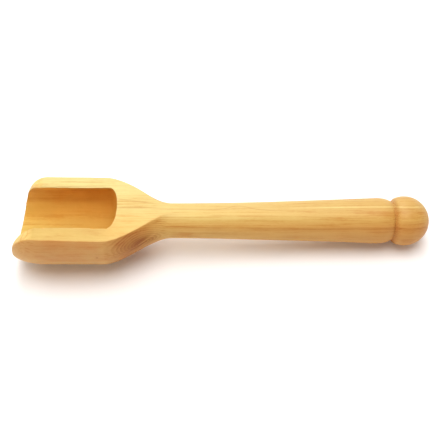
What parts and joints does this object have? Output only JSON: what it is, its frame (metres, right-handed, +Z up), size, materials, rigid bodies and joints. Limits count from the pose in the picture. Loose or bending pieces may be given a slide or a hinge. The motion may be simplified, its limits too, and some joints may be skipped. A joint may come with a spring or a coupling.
{
  "type": "salt spoon",
  "caption": "Turned wooden salt spoon: a round scoop bored from the front and cut flat on top, a slim neck, a tapering handle and a ball end behind a groove.",
  "frame": {"origin": "on the table, below the middle of the lying spoon: the bottom centre of its box", "axes": "+X along the spoon from the scoop's mouth to the ball end, +Z up out of the cut flat, +Y across"},
  "size_m": [0.179, 0.038, 0.029],
  "materials": {
    "wood": "fine sanded, lightly waxed"
  },
  "bodies": {
    "root": {"spoon_body": "wood"}
  },
  "joints": []
}
